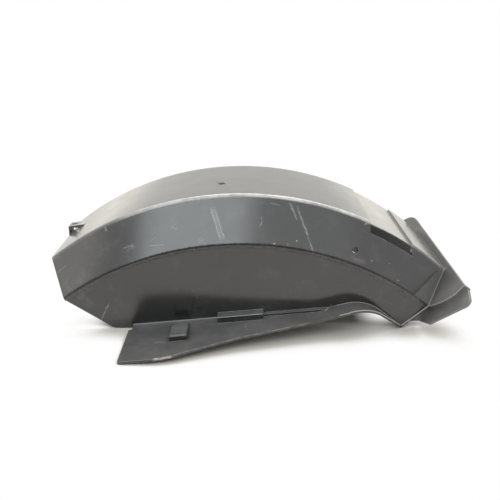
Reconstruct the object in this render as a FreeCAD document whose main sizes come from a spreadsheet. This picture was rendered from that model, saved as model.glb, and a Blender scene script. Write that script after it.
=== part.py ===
import FreeCAD, Part
import math
import os
import Sketcher

# Inner fender of a motorcycle, one moulded arch that lies on its four lower corners.
# X runs along the arch, Y across it from the shelf side to the plain side, and Z up.
# The body is drawn about the crest of the arch and then set down with the origin
# under the middle of its box. Lengths are millimetres and angles are degrees.

SIZES = [
    # crown, the wide band over the wheel
    ("crest_height", 152, "top of the crown above the ground"),
    ("crown_radius", 355, "outer radius of the crown"),
    ("crown_width", 152, "width of the crown between its two edges"),
    ("crown_wall", 3, "wall of the crown"),
    ("left_angle", 38.1, "left end of the crown, from the crest"),
    ("right_angle", 41.9, "right end of the crown, from the crest"),
    ("crown_round", 6, "round along the crown's edges"),
    # shoulder, the sloped band beside the crown
    ("shoulder_drop", 49.5, "fall of the shoulder from the crown to the step"),
    ("shoulder_width", 30, "reach of the shoulder beside the crown"),
    ("shoulder_radius", 343, "outer radius of the shoulder's lower edge"),
    ("shoulder_depth", 5.6, "depth of the shoulder at the crown, measured down through it"),
    ("shoulder_foot", 3.6, "depth of the shoulder at its lower edge, measured down through it"),
    ("shoulder_left", 35.9, "left end of the shoulder's lower edge, from the crest"),
    ("shoulder_right", 38.6, "right end of the shoulder's lower edge, from the crest"),
    ("hem_round", 9.5, "round along the shoulder's lower edge"),
    # side wall under the shoulder
    ("wall_step", 2.5, "set-back of the side wall under the shoulder"),
    ("wall_thick", 3, "thickness of the side wall"),
    ("wall_lap", 0.85, "share of the step that the side wall laps behind the shoulder"),
    ("tip_drop", 4, "height of the blunt corner at the left tip"),
    ("tip_run", 3, "length of the blunt corner at the left tip"),
    ("foot_start", 149, "start of the slope above the left foot, from the crest"),
    ("foot_lift", 2, "height of the bevel at the left foot"),
    ("foot_bevel", 5, "length of the bevel at the left foot"),
    # shelf along the foot of the near wall
    ("shelf_thick", 3, "thickness of the shelf"),
    ("shelf_left", 128, "left edge of the shelf, from the crest"),
    ("shelf_bend", 85, "start of the hump in the shelf, from the crest"),
    ("bend_height", 22.5, "top of the shelf at the start of the hump"),
    ("hump_start", 118, "start of the rounded hump, from the crest"),
    ("hump_start_height", 30.5, "top of the shelf at the start of the round"),
    ("hump_end", 157, "end of the rounded hump, from the crest"),
    ("hump_end_height", 23.5, "top of the shelf at the end of the round"),
    ("hump_radius", 45, "radius of the hump"),
    ("shelf_tip", 184, "right foot, where shelf and wall meet, from the crest"),
    ("shelf_reach", 89, "reach of the shelf beyond the wall at its left end"),
    ("shelf_square", 28, "length of the square left end of the shelf"),
    ("shelf_corner", 4, "round at the outer left corner of the shelf"),
    ("slope_run", 45, "run of the rounded start of the sloped front"),
    ("slope_reach", 77, "reach of the shelf after that rounded start"),
    ("slope_round", 90.4, "radius of that rounded start"),
    ("shelf_middle", -3, "place of the middle of the sloped front, from the crest"),
    ("middle_reach", 55.5, "reach of the shelf at the middle of the sloped front"),
    ("bend_reach", 30, "reach of the shelf at the start of the hump"),
    ("hump_reach", 27.5, "reach of the shelf at the start of the round"),
    ("hump_end_reach", 11.5, "reach of the shelf at the end of the round"),
    ("hump_front_round", 105, "radius of the front edge beside the hump"),
    ("tip_reach", 0.4, "reach of the shelf at the right foot"),
    ("notch_width", 4, "width of the notch at the root of the left edge"),
    ("notch_depth", 12, "length of the notch along the left edge"),
    ("root_round", 3, "round where the shelf meets the wall"),
    ("front_blend", 60, "radius of the bends in the sloped front"),
    ("front_round", 0.9, "round along the top of the shelf's front"),
    # block, rib and ledge on the shelf
    ("block_place", 68, "middle of the block, from the crest"),
    ("block_length", 21, "length of the block"),
    ("block_width", 33, "width of the block"),
    ("block_gap", 18, "gap from the wall to the block"),
    ("block_rise", 7, "height of the block over the shelf"),
    ("block_round", 2.5, "round on the block's edges"),
    ("rib_start", 27, "left end of the rib, from the crest"),
    ("rib_length", 52, "length of the rib"),
    ("rib_width", 14, "width of the rib from the wall"),
    ("rib_rise", 7, "height of the rib over the shelf"),
    ("ledge_width", 6, "width of the low ledge beside the rib"),
    ("ledge_rise", 2.6, "height of the low ledge over the shelf"),
    ("ledge_end", 97, "right end of the low ledge, from the crest"),
    # flange across the right end
    ("plate_thick", 3, "thickness of the end flange"),
    ("plate_rise", 7, "rise of the flange over the crown at the near side"),
    ("plate_far_rise", 10, "rise of the flange over the crown at the far side"),
    ("plate_near", 65, "reach of the flange beside the crown, near side"),
    ("plate_far", 62, "reach of the flange beside the crown, far side"),
    ("plate_round", 50, "round of the far corner of the flange"),
    ("plate_far_run", 38, "length of the rounded far corner across the flange"),
    ("plate_far_drop", 15, "fall of the rounded far corner"),
    ("crease_drop", 14, "fall of the flange's near edge to the bend of its crease"),
    ("crease_in", 3, "run of the flange's near edge to the bend of its crease"),
    ("crease_round", 95, "radius of the crease"),
    ("lip_back", 4, "set-back of the lip behind the flange"),
    ("lip_reach", 20, "reach of the lip beyond the flange's near corner"),
    ("lip_fall", 6, "fall of the lip's top edge"),
    ("lip_side", 9, "straight side of the lip below its top edge"),
    ("lip_corner", 6, "round of the lip's outer corner"),
    ("lip_foot_reach", 17, "reach of the lip beyond the shoulder at its foot"),
    ("lip_foot_drop", 13, "fall of the lip below the shoulder at its foot"),
    ("lip_toe_in", 8, "run of the lip's toe inwards from the shoulder"),
    ("lip_toe_drop", 22, "fall of the lip's toe below the shoulder"),
    ("lip_lap", 4, "lap of the lip behind the flange"),
    ("strip_back", 0.6, "set-back of the strip from the wall to the lip"),
    ("strip_length", 19, "length of that strip down the lip"),
    ("strip_share", 0.31, "lower end of that strip as a share of the wall's right edge"),
    # strap seat sunk across the crown
    ("seat_start", 24.5, "left end of the strap seat, from the crest"),
    ("seat_end", 33.8, "right end of the strap seat, from the crest"),
    ("seat_depth", 2.5, "depth of the strap seat"),
    ("seat_share", 0.24, "share of the shoulder's slope that the seat covers"),
    ("seat_fall", 8, "added depth of the seat at its foot on the shoulder"),
    ("seat_wall", 10, "wall under the seat's sides, measured down through it"),
    ("seat_border", 0.1, "share of the shoulder's slope that the backing runs past the seat"),
    ("seat_margin", 1.2, "angle by which the backing runs past the seat"),
    # holes
    ("side_hole", 7.4, "diameter of the fixing hole through the shoulder"),
    ("side_hole_angle", 21.6, "place of that hole along the arch, from the crest"),
    ("side_hole_share", 0.7, "place of that hole as a share of the shoulder's slope"),
    ("top_hole", 3.6, "diameter of the hole through the crown"),
    ("top_hole_place", 24.6, "place of the crown hole, left of the crest"),
    ("top_hole_inset", 52, "crown hole, from the near edge of the crown"),
    ("dimple", 10.5, "diameter of the dimple round the crown hole"),
    ("dimple_depth", 0.8, "depth of the dimple round the crown hole"),
    # loop on the left end of the crown
    ("loop_inset", 80, "near side of the loop, from the near edge of the crown"),
    ("loop_width", 18, "width of the loop"),
    ("loop_angle", 4.4, "angle that the loop covers"),
    ("loop_rise", 13, "height of the loop over the end of the crown"),
    ("loop_bar", 1.8, "wall of the loop"),
    ("window_start", 0.65, "start of the loop's window, from the end of the crown"),
    ("window_end", 2.9, "end of the loop's window, from the end of the crown"),
    ("slit_length", 7, "length of the slit through the top of the loop"),
    ("slit_width", 4, "width of the slit through the top of the loop"),
]

TOUCH = 0.01  # distance within which two places are the same
SMOOTH = 1  # turn in degrees below which two faces run on into each other

doc = FreeCAD.newDocument("InnerFender")
sheet = doc.addObject("Spreadsheet::Sheet", "Sizes")
for row, (alias, size, meaning) in enumerate(SIZES, start=1):
    sheet.set(f"A{row}", meaning)
    sheet.set(f"B{row}", str(size))
    sheet.setAlias(f"B{row}", alias)
doc.recompute()

body = doc.addObject("PartDesign::Body", "InnerFender")
body.Label = "inner_fender"
doc.recompute()
planes = {feature.Role: feature for feature in body.Origin.OriginFeatures}


def number(formula):
    """Value of a formula over the sheet."""
    found = sheet.evalExpression(formula)
    return float(getattr(found, "Value", found))


def arc_between(start, end, radius, left_turn):
    """Arc from start to end, and whether it runs from its end to its start."""
    chord = end - start
    half = chord.Length / 2
    side = FreeCAD.Vector(-chord.y, chord.x, 0).normalize()
    reach = math.sqrt(max(radius * radius - half * half, 0))
    centre = (start + end) / 2 + side * (reach if left_turn else -reach)
    first, last = (start, end) if left_turn else (end, start)
    turn_start = math.atan2(first.y - centre.y, first.x - centre.x)
    turn_end = math.atan2(last.y - centre.y, last.x - centre.x)
    circle = Part.Circle(centre, FreeCAD.Vector(0, 0, 1), radius)
    return Part.ArcOfCircle(circle, turn_start, turn_end), not left_turn


def new_sketch(name, plane, place=None, tilt=None, hinge=("1", "0")):
    """Empty sketch on an origin plane, moved and tilted about an axis in it by formulas."""
    sketch = body.newObject("Sketcher::SketchObject", name)
    sketch.AttachmentSupport = [(planes[plane], "")]
    sketch.MapMode = "FlatFace"
    if tilt:
        axis = FreeCAD.Vector(number(hinge[0]), number(hinge[1]), 0)
        turn = FreeCAD.Rotation(axis, number(tilt))
        sketch.AttachmentOffset = FreeCAD.Placement(FreeCAD.Vector(), turn)
        sketch.setExpression("AttachmentOffset.Rotation.Angle", tilt)
        sketch.setExpression("AttachmentOffset.Rotation.Axis.x", hinge[0])
        sketch.setExpression("AttachmentOffset.Rotation.Axis.y", hinge[1])
    for axis, formula in (place or {}).items():
        sketch.setExpression(f"AttachmentOffset.Base.{axis}", formula)
    return sketch


def tie(sketch, kind, refs, formula):
    """Dimension of a sketch that follows a formula."""
    index = sketch.addConstraint(Sketcher.Constraint(kind, *refs, number(formula)))
    sketch.setExpression(f"Constraints[{index}]", formula)


def outline(name, plane, points, arcs=None, place=None, tilt=None):
    """Closed outline through points given as formulas.

    arcs maps the number of a side to its radius and to whether it turns left.
    """
    sketch = new_sketch(name, plane, place, tilt)
    corners = [FreeCAD.Vector(number(across), number(up), 0) for across, up in points]
    ends = []
    for side, start in enumerate(corners):
        end = corners[(side + 1) % len(corners)]
        if side in (arcs or {}):
            radius, left_turn = arcs[side]
            curve, flipped = arc_between(start, end, number(radius), left_turn)
        else:
            curve, flipped = Part.LineSegment(start, end), False
        sketch.addGeometry(curve, False)
        ends.append((2, 1) if flipped else (1, 2))
    for side, (_, last) in enumerate(ends):
        following = (side + 1) % len(ends)
        sketch.addConstraint(Sketcher.Constraint("Coincident", side, last, following, ends[following][0]))
    for side, (across, up) in enumerate(points):
        tie(sketch, "DistanceX", (-1, 1, side, ends[side][0]), across)
        tie(sketch, "DistanceY", (-1, 1, side, ends[side][0]), up)
    for side, (radius, _) in (arcs or {}).items():
        tie(sketch, "Radius", (side,), radius)
    doc.recompute()
    return sketch


def disc(name, plane, across, up, diameter, **setting):
    """Circle given by the formulas of its centre and diameter."""
    sketch = new_sketch(name, plane, **setting)
    centre = FreeCAD.Vector(number(across), number(up), 0)
    circle = Part.Circle(centre, FreeCAD.Vector(0, 0, 1), number(diameter) / 2)
    sketch.addGeometry(circle, False)
    tie(sketch, "DistanceX", (-1, 1, 0, 3), across)
    tie(sketch, "DistanceY", (-1, 1, 0, 3), up)
    tie(sketch, "Diameter", (0,), diameter)
    doc.recompute()
    return sketch


def extrude(kind, name, sketch, length, reverse=False, middle=False):
    """Pad or pocket of a sketch by a length formula."""
    feature = body.newObject(f"PartDesign::{kind}", name)
    feature.Profile = sketch
    feature.setExpression("Length", length)
    feature.SideType = "Symmetric" if middle else "One side"
    feature.Reversed = reverse
    body.Tip = feature
    doc.recompute()
    return feature


def loft(kind, name, first, second):
    """Straight loft between two outlines."""
    feature = body.newObject(f"PartDesign::{kind}", name)
    feature.Profile = first
    feature.Sections = [second]
    feature.Ruled = True
    body.Tip = feature
    doc.recompute()
    return feature


def mirror(name, originals):
    """Copy of features on the far side of the arch."""
    feature = body.newObject("PartDesign::Mirrored", name)
    feature.Originals = originals
    feature.MirrorPlane = (planes["XZ_Plane"], [""])
    body.Tip = feature
    doc.recompute()
    return feature


def round_edges(name, radius, wanted):
    """Fillet on the edges of the body that a test picks."""
    base = body.Tip
    edges = [f"Edge{place}" for place, edge in enumerate(base.Shape.Edges, start=1) if wanted(edge)]
    feature = body.newObject("PartDesign::Fillet", name)
    feature.Base = (base, edges)
    feature.setExpression("Radius", radius)
    body.Tip = feature
    doc.recompute()
    return feature


def arch_point(share, angle, above="0"):
    """Point over the arch, at a share of the way down the shoulder and an angle from the crest."""
    radius = f"(Sizes.crown_radius + ({share}) * (Sizes.shoulder_radius - Sizes.crown_radius))"
    reach = f"({radius} + ({above}))"
    crest = f"(Sizes.crest_height - ({share}) * Sizes.shoulder_drop)"
    return f"{reach} * sin({angle})", f"{crest} - {radius} + {reach} * cos({angle})"


def arch_radius(share, above):
    """Radius of the arch at a share of the way down the shoulder, with a rise above it."""
    radius = f"Sizes.crown_radius + ({share}) * (Sizes.shoulder_radius - Sizes.crown_radius)"
    return f"{radius} + ({above})"


def band(name, place, share, left, right, outer, inner):
    """Section of the arch between two angles and two rises."""
    points = [
        arch_point(share, left, outer),
        arch_point(share, right, outer),
        arch_point(share, right, inner),
        arch_point(share, left, inner),
    ]
    arcs = {0: (arch_radius(share, outer), False), 2: (arch_radius(share, inner), True)}
    return outline(name, "XZ_Plane", points, arcs, {"z": place})


HALF = "Sizes.crown_width / 2"
SHOULDER_EDGE = f"({HALF} + Sizes.shoulder_width)"
WALL_FACE = f"({SHOULDER_EDGE} - Sizes.wall_step)"
WALL_CORE = f"({WALL_FACE} - Sizes.wall_thick / 2)"
LEFT = "-Sizes.left_angle"
RIGHT = "Sizes.right_angle"
STEP_LEFT = "-Sizes.shoulder_left"
STEP_RIGHT = "Sizes.shoulder_right"

# Crown.
crown_band = band("CrownBand", "0", "0", LEFT, RIGHT, "0", "-Sizes.crown_wall")
extrude("Pad", "Crown", crown_band, "Sizes.crown_width", middle=True)

# Shoulder and side wall of the near side, and their copies on the far side.
upper_band = band("ShoulderTop", HALF, "0", LEFT, RIGHT, "0", "-Sizes.shoulder_depth")
lower_band = band("ShoulderFoot", SHOULDER_EDGE, "1", STEP_LEFT, STEP_RIGHT, "0", "-Sizes.shoulder_foot")
shoulder = loft("AdditiveLoft", "Shoulder", upper_band, lower_band)

WALL_SHARE = "(1 - Sizes.wall_lap * Sizes.wall_step / Sizes.shoulder_width)"
HALF_SHELF = "Sizes.shelf_thick / 2"
tip_left = arch_point("1", STEP_LEFT)
tip_right = arch_point("1", STEP_RIGHT)
wall_points = [
    arch_point(WALL_SHARE, STEP_LEFT),
    arch_point(WALL_SHARE, STEP_RIGHT),
    tip_right,
    ("Sizes.shelf_tip", "0"),
    ("Sizes.hump_end", f"Sizes.hump_end_height - {HALF_SHELF}"),
    ("Sizes.hump_start", f"Sizes.hump_start_height - {HALF_SHELF}"),
    ("Sizes.shelf_bend", f"Sizes.bend_height - {HALF_SHELF}"),
    ("-Sizes.shelf_left", "0"),
    ("-Sizes.foot_start + Sizes.foot_bevel", "0"),
    ("-Sizes.foot_start", "Sizes.foot_lift"),
    (f"{tip_left[0]} + Sizes.tip_run", f"{tip_left[1]} - Sizes.tip_drop"),
    tip_left,
]
wall_arcs = {0: (arch_radius(WALL_SHARE, "0"), False), 4: ("Sizes.hump_radius", True)}
wall_outline = outline("WallOutline", "XZ_Plane", wall_points, wall_arcs, {"z": WALL_FACE})
wall = extrude("Pad", "SideWall", wall_outline, "Sizes.wall_thick", reverse=True)
mirror("FarSide", [shoulder, wall])


def on_arch(edge, place, radius):
    """Whether an edge is an arc of a radius at a distance beside the middle of the crown."""
    curve = edge.Curve
    if not isinstance(curve, Part.Circle):
        return False
    beside = abs(abs(curve.Center.y) - number(place)) < TOUCH
    return beside and abs(curve.Radius - number(radius)) < TOUCH


def on_crown_edge(edge):
    """Whether an edge is one of the two outer edges of the crown."""
    return on_arch(edge, HALF, "Sizes.crown_radius")


def on_hem(edge):
    """Whether an edge is the lower edge of a shoulder."""
    return on_arch(edge, SHOULDER_EDGE, "Sizes.shoulder_radius")


round_edges("CrownRound", "Sizes.crown_round", on_crown_edge)
round_edges("HemRound", "Sizes.hem_round", on_hem)

# Strap seat sunk across the crown and the top of each shoulder, with its backing.
BACK_LEFT = "Sizes.seat_start - Sizes.seat_margin"
BACK_RIGHT = "Sizes.seat_end + Sizes.seat_margin"
BACK_DEPTH = "-Sizes.crown_wall - Sizes.seat_depth"
backing_band = band("BackingBand", "0", "0", BACK_LEFT, BACK_RIGHT, "-Sizes.crown_wall / 2", BACK_DEPTH)
extrude("Pad", "SeatBacking", backing_band, "Sizes.crown_width", middle=True)
BACK_SHARE = "(Sizes.seat_share + Sizes.seat_border)"
BACK_EDGE = f"({HALF} + {BACK_SHARE} * Sizes.shoulder_width)"
BACK = (BACK_LEFT, BACK_RIGHT, "-Sizes.shoulder_foot / 2")
FOOT_DEPTH = "-Sizes.seat_depth - Sizes.seat_fall"
back_top = band("SideBackingTop", HALF, "0", *BACK, "-Sizes.seat_depth - Sizes.seat_wall")
back_foot = band("SideBackingFoot", BACK_EDGE, BACK_SHARE, *BACK, f"{FOOT_DEPTH} - Sizes.seat_wall")
side_backing = loft("AdditiveLoft", "SideBacking", back_top, back_foot)
mirror("FarSideBacking", [side_backing])
SEAT = ("Sizes.seat_start", "Sizes.seat_end", "2 * Sizes.crown_round")
seat_band = band("SeatBand", "0", "0", *SEAT, "-Sizes.seat_depth")
extrude("Pocket", "Seat", seat_band, "Sizes.crown_width", middle=True)
SEAT_EDGE = f"({HALF} + Sizes.seat_share * Sizes.shoulder_width)"
seat_top = band("SeatSideTop", HALF, "0", *SEAT, "-Sizes.seat_depth")
seat_foot = band("SeatSideFoot", SEAT_EDGE, "Sizes.seat_share", *SEAT, FOOT_DEPTH)
seat_side = loft("SubtractiveLoft", "SeatSide", seat_top, seat_foot)
mirror("FarSeatSide", [seat_side])

# Shelf along the foot of the near wall, cut to its plan.
shelf_points = [
    ("-Sizes.shelf_left", "Sizes.shelf_thick"),
    ("Sizes.shelf_bend", "Sizes.bend_height"),
    ("Sizes.hump_start", "Sizes.hump_start_height"),
    ("Sizes.hump_end", "Sizes.hump_end_height"),
    ("Sizes.shelf_tip", "Sizes.shelf_thick"),
    ("Sizes.shelf_tip", "0"),
    ("Sizes.hump_end", "Sizes.hump_end_height - Sizes.shelf_thick"),
    ("Sizes.hump_start", "Sizes.hump_start_height - Sizes.shelf_thick"),
    ("Sizes.shelf_bend", "Sizes.bend_height - Sizes.shelf_thick"),
    ("-Sizes.shelf_left", "0"),
]
shelf_arcs = {2: ("Sizes.hump_radius", False), 6: ("Sizes.hump_radius", True)}
shelf_outline = outline("ShelfOutline", "XZ_Plane", shelf_points, shelf_arcs, {"z": WALL_CORE})
extrude("Pad", "Shelf", shelf_outline, "Sizes.shelf_reach + Sizes.wall_thick / 2")

SQUARE_END = "-Sizes.shelf_left + Sizes.shelf_square"
OFFCUT = f"-({WALL_FACE} + 2 * Sizes.shelf_reach)"
CLEAR_TIP = "Sizes.shelf_tip + Sizes.shelf_thick"
TRIM_TOP = "(Sizes.hump_start_height + 2 * Sizes.shelf_thick)"
TRIM_DEPTH = f"{TRIM_TOP} + Sizes.shelf_thick"
front_points = [
    (SQUARE_END, f"-({WALL_FACE} + Sizes.shelf_reach)"),
    (f"{SQUARE_END} + Sizes.slope_run", f"-({WALL_FACE} + Sizes.slope_reach)"),
    ("Sizes.shelf_middle", f"-({WALL_FACE} + Sizes.middle_reach)"),
    ("Sizes.shelf_bend", f"-({WALL_FACE} + Sizes.bend_reach)"),
    ("Sizes.hump_start", f"-({WALL_FACE} + Sizes.hump_reach)"),
    ("Sizes.hump_end", f"-({WALL_FACE} + Sizes.hump_end_reach)"),
    ("Sizes.shelf_tip", f"-({WALL_FACE} + Sizes.tip_reach)"),
    (CLEAR_TIP, f"-({WALL_FACE} + Sizes.tip_reach)"),
    (CLEAR_TIP, OFFCUT),
    (SQUARE_END, OFFCUT),
]
front_arcs = {0: ("Sizes.slope_round", True), 4: ("Sizes.hump_front_round", True)}
shelf_front = outline("ShelfFront", "XY_Plane", front_points, front_arcs, {"z": TRIM_TOP})
extrude("Pocket", "ShelfTrim", shelf_front, TRIM_DEPTH)

notch_points = [
    ("-Sizes.shelf_left - Sizes.notch_width", f"-{WALL_FACE}"),
    ("-Sizes.shelf_left + Sizes.notch_width", f"-{WALL_FACE}"),
    ("-Sizes.shelf_left + Sizes.notch_width", f"-({WALL_FACE} + Sizes.notch_depth)"),
    ("-Sizes.shelf_left - Sizes.notch_width", f"-({WALL_FACE} + Sizes.notch_depth)"),
]
notch = outline("Notch", "XY_Plane", notch_points, place={"z": TRIM_TOP})
extrude("Pocket", "ShelfNotch", notch, TRIM_DEPTH)

SHELF_SLOPE = "(Sizes.bend_height - Sizes.shelf_thick) / (Sizes.shelf_bend + Sizes.shelf_left)"


def shelf_top(place):
    """Height formula of the shelf's top on its sloped stretch."""
    return f"(Sizes.shelf_thick + ({place} + Sizes.shelf_left) * {SHELF_SLOPE})"


def on_shelf_corner(edge):
    """Whether an edge stands on the outer left corner of the shelf."""
    corner_x = number("-Sizes.shelf_left")
    corner_y = -number(f"{WALL_FACE} + Sizes.shelf_reach")
    return all(math.hypot(v.X - corner_x, v.Y - corner_y) < TOUCH for v in edge.Vertexes)


round_edges("ShelfCorner", "Sizes.shelf_corner", on_shelf_corner)


def on_shelf_bend(edge):
    """Whether an edge stands where the shelf's sloped front changes direction."""
    bends = [(number(across), number(up)) for across, up in front_points[:3]]
    ends = [(vertex.X, vertex.Y) for vertex in edge.Vertexes]
    if not any(all(math.dist(end, bend) < TOUCH for end in ends) for bend in bends):
        return False
    middle = edge.CenterOfMass
    faces = body.Tip.Shape.ancestorsOfType(edge, Part.Face)
    first, second = [face.normalAt(*face.Surface.parameter(middle)) for face in faces]
    return first.getAngle(second) > math.radians(SMOOTH)


round_edges("ShelfBend", "Sizes.front_blend", on_shelf_bend)


def on_shelf_root(edge):
    """Whether an edge is the root of the shelf's sloped stretch on the wall's face."""
    box = edge.BoundBox
    on_face = abs(box.YMin + number(WALL_FACE)) < TOUCH and abs(box.YMax + number(WALL_FACE)) < TOUCH
    left = number("-Sizes.shelf_left") - TOUCH
    right = number("Sizes.shelf_bend") + TOUCH
    sloped = left < box.XMin and box.XMax < right and box.XLength > number("Sizes.shelf_square")
    return on_face and sloped and box.ZMin > number("Sizes.shelf_thick") - TOUCH


round_edges("ShelfRoot", "Sizes.root_round", on_shelf_root)


def on_shelf_front(edge):
    """Whether an edge is the top of the shelf's front, from its left end to the hump."""
    box = edge.BoundBox
    long = box.XLength > number("Sizes.shelf_corner") + TOUCH
    beyond = box.YMax < -number(f"{WALL_FACE} + Sizes.bend_reach") + TOUCH
    level = box.ZMin + number("Sizes.shelf_thick") / 2 > number(shelf_top("(-Sizes.shelf_left)"))
    ends = [(vertex.X, vertex.Z) for vertex in edge.Vertexes]
    on_top = all(abs(z - number(shelf_top(f"({x})"))) < TOUCH for x, z in ends)
    return long and beyond and level and on_top


round_edges("ShelfFrontRound", "Sizes.front_round", on_shelf_front)


# Block, rib and low ledge on the sloped stretch of the shelf.
def raise_on_shelf(name, start, end, gap, width, rise):
    """Bar on the shelf between two places, from a gap beside the wall's face outwards."""
    points = [
        (start, f"{shelf_top(start)} - {HALF_SHELF}"),
        (end, f"{shelf_top(end)} - {HALF_SHELF}"),
        (end, f"{shelf_top(end)} + {rise}"),
        (start, f"{shelf_top(start)} + {rise}"),
    ]
    section = outline(f"{name}Section", "XZ_Plane", points, place={"z": f"{WALL_FACE} + {gap}"})
    return extrude("Pad", name, section, width)


IN_WALL = "(-Sizes.wall_thick / 2)"
block_start = "(-Sizes.block_place - Sizes.block_length / 2)"
block_end = "(-Sizes.block_place + Sizes.block_length / 2)"
raise_on_shelf("Block", block_start, block_end, "Sizes.block_gap", "Sizes.block_width", "Sizes.block_rise")
rib_end = "(-Sizes.rib_start + Sizes.rib_length)"
rib_width = f"Sizes.rib_width - {IN_WALL}"
raise_on_shelf("Rib", "(-Sizes.rib_start)", rib_end, IN_WALL, rib_width, "Sizes.rib_rise")
ledge_width = f"Sizes.ledge_width - {IN_WALL}"
ledge_start = f"({rib_end} - Sizes.ledge_width)"
raise_on_shelf("Ledge", ledge_start, "Sizes.ledge_end", IN_WALL, ledge_width, "Sizes.ledge_rise")


def on_block(edge):
    """Whether an edge bounds the sides or the top of the block above the shelf."""
    box = edge.BoundBox
    beside = number(f"{WALL_FACE} + Sizes.block_gap")
    left = number(block_start) - TOUCH
    right = number(block_end) + TOUCH
    inside = box.XMin > left and box.XMax < right
    outside_wall = box.YMax < -beside + TOUCH
    return inside and outside_wall and box.ZMax > number(f"{shelf_top(block_start)} + Sizes.block_rise / 2")


round_edges("BlockRound", "Sizes.block_round", on_block)

# Flange across the right end, in the plane that holds both right ends of the shoulder.
crown_end = arch_point("0", RIGHT)
END_RUN = f"({crown_end[0]} - ({tip_right[0]}))"
END_FALL = f"({crown_end[1]} - ({tip_right[1]}))"
END_TILT = f"atan2({END_RUN}; {END_FALL})"
END_LENGTH = f"sqrt({END_RUN} * {END_RUN} + {END_FALL} * {END_FALL})"


def behind_end(depth):
    """Place of a sketch in the flange's plane, moved out of the arch by a depth."""
    return {
        "y": f"{crown_end[1]} - ({depth}) * sin({END_TILT})",
        "z": f"{crown_end[0]} + ({depth}) * cos({END_TILT})",
    }


FLANGE_FACE = "-Sizes.plate_thick / 2"
NEAR_CORNER = f"-({HALF} + Sizes.plate_near)"
CREASE_BEND = f"({NEAR_CORNER} + Sizes.crease_in)"
CREASE_LOW = "Sizes.plate_rise - Sizes.crease_drop"
INNER = "Sizes.crown_wall"
plate_points = [
    (NEAR_CORNER, "Sizes.plate_rise"),
    (f"{HALF} + Sizes.plate_far - Sizes.plate_far_run", "Sizes.plate_far_rise"),
    (f"{HALF} + Sizes.plate_far", "Sizes.plate_far_rise - Sizes.plate_far_drop"),
    (SHOULDER_EDGE, f"-{END_LENGTH}"),
    (f"{SHOULDER_EDGE} - {INNER} / 2", f"-{END_LENGTH} - {INNER} / 2"),
    (f"{HALF} - {INNER} / 2", f"-{INNER}"),
    (f"-({HALF} - {INNER} / 2)", f"-{INNER}"),
    (f"-({SHOULDER_EDGE} - {INNER} / 2)", f"-{END_LENGTH} - {INNER} / 2"),
    (f"-{SHOULDER_EDGE}", f"-{END_LENGTH}"),
    (CREASE_BEND, CREASE_LOW),
]
plate_arcs = {1: ("Sizes.plate_round", False), 8: ("Sizes.crease_round", False)}
plate = outline("FlangeOutline", "YZ_Plane", plate_points, plate_arcs, behind_end(FLANGE_FACE), END_TILT)
extrude("Pad", "EndFlange", plate, "Sizes.plate_thick")

# Lip beyond the flange's crease, set back and joined by a web along the crease.
LAP_FOOT = (f"-({SHOULDER_EDGE} - Sizes.lip_lap)", f"-{END_LENGTH}")
LAP_BEND = (f"{CREASE_BEND} + Sizes.lip_lap", CREASE_LOW)
LAP_TOP = (f"{NEAR_CORNER} + Sizes.lip_lap", "Sizes.plate_rise")
web_points = [
    (f"-{SHOULDER_EDGE}", f"-{END_LENGTH}"),
    (CREASE_BEND, CREASE_LOW),
    (NEAR_CORNER, "Sizes.plate_rise"),
    LAP_TOP,
    LAP_BEND,
    LAP_FOOT,
]
web_arcs = {0: ("Sizes.crease_round", False)}
web = outline("CreaseWeb", "YZ_Plane", web_points, web_arcs, behind_end(FLANGE_FACE), END_TILT)
extrude("Pad", "Crease", web, "Sizes.lip_back + 1.5 * Sizes.plate_thick")

LIP_OUT = f"({NEAR_CORNER} - Sizes.lip_reach)"
LIP_TOP = "Sizes.plate_rise - Sizes.lip_fall"
TOE = f"-({SHOULDER_EDGE} - Sizes.lip_toe_in)"
lip_points = [
    LAP_FOOT,
    LAP_BEND,
    LAP_TOP,
    (f"{LIP_OUT} + Sizes.lip_corner / 2", LIP_TOP),
    (LIP_OUT, f"{LIP_TOP} - Sizes.lip_side"),
    (f"-({SHOULDER_EDGE} + Sizes.lip_foot_reach)", f"-{END_LENGTH} - Sizes.lip_foot_drop"),
    (TOE, f"-{END_LENGTH} - Sizes.lip_toe_drop"),
]
lip_arcs = {3: ("Sizes.lip_corner", True)}
lip = outline("LipOutline", "YZ_Plane", lip_points, lip_arcs, behind_end("Sizes.lip_back"), END_TILT)
extrude("Pad", "Lip", lip, "Sizes.plate_thick")

# Strip that closes the gap from the wall's right edge to the lip.
LIP_CORE = "(Sizes.lip_back + Sizes.plate_thick / 2)"


def on_lip(fall):
    """Point in the middle of the lip's wall, at a fall down the lip from the shoulder."""
    across = f"{tip_right[0]} + {LIP_CORE} * cos({END_TILT}) - ({fall}) * sin({END_TILT})"
    up = f"{tip_right[1]} - {LIP_CORE} * sin({END_TILT}) - ({fall}) * cos({END_TILT})"
    return across, up


IN_EDGE = "Sizes.wall_thick / 2"
EDGE_RUN = f"(({tip_right[0]}) - Sizes.shelf_tip)"
EDGE_END = f"Sizes.shelf_tip + Sizes.strip_share * {EDGE_RUN}"
STRIP_FACE = f"{WALL_FACE} - Sizes.strip_back"
strip_points = [
    (f"{tip_right[0]} - {IN_EDGE}", tip_right[1]),
    on_lip("0"),
    on_lip("Sizes.strip_length"),
    (f"{EDGE_END} - {IN_EDGE}", f"Sizes.strip_share * ({tip_right[1]})"),
]
strip_outline = outline("StripOutline", "XZ_Plane", strip_points, place={"z": STRIP_FACE})
extrude("Pad", "LipStrip", strip_outline, "Sizes.wall_thick", reverse=True)

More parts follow.
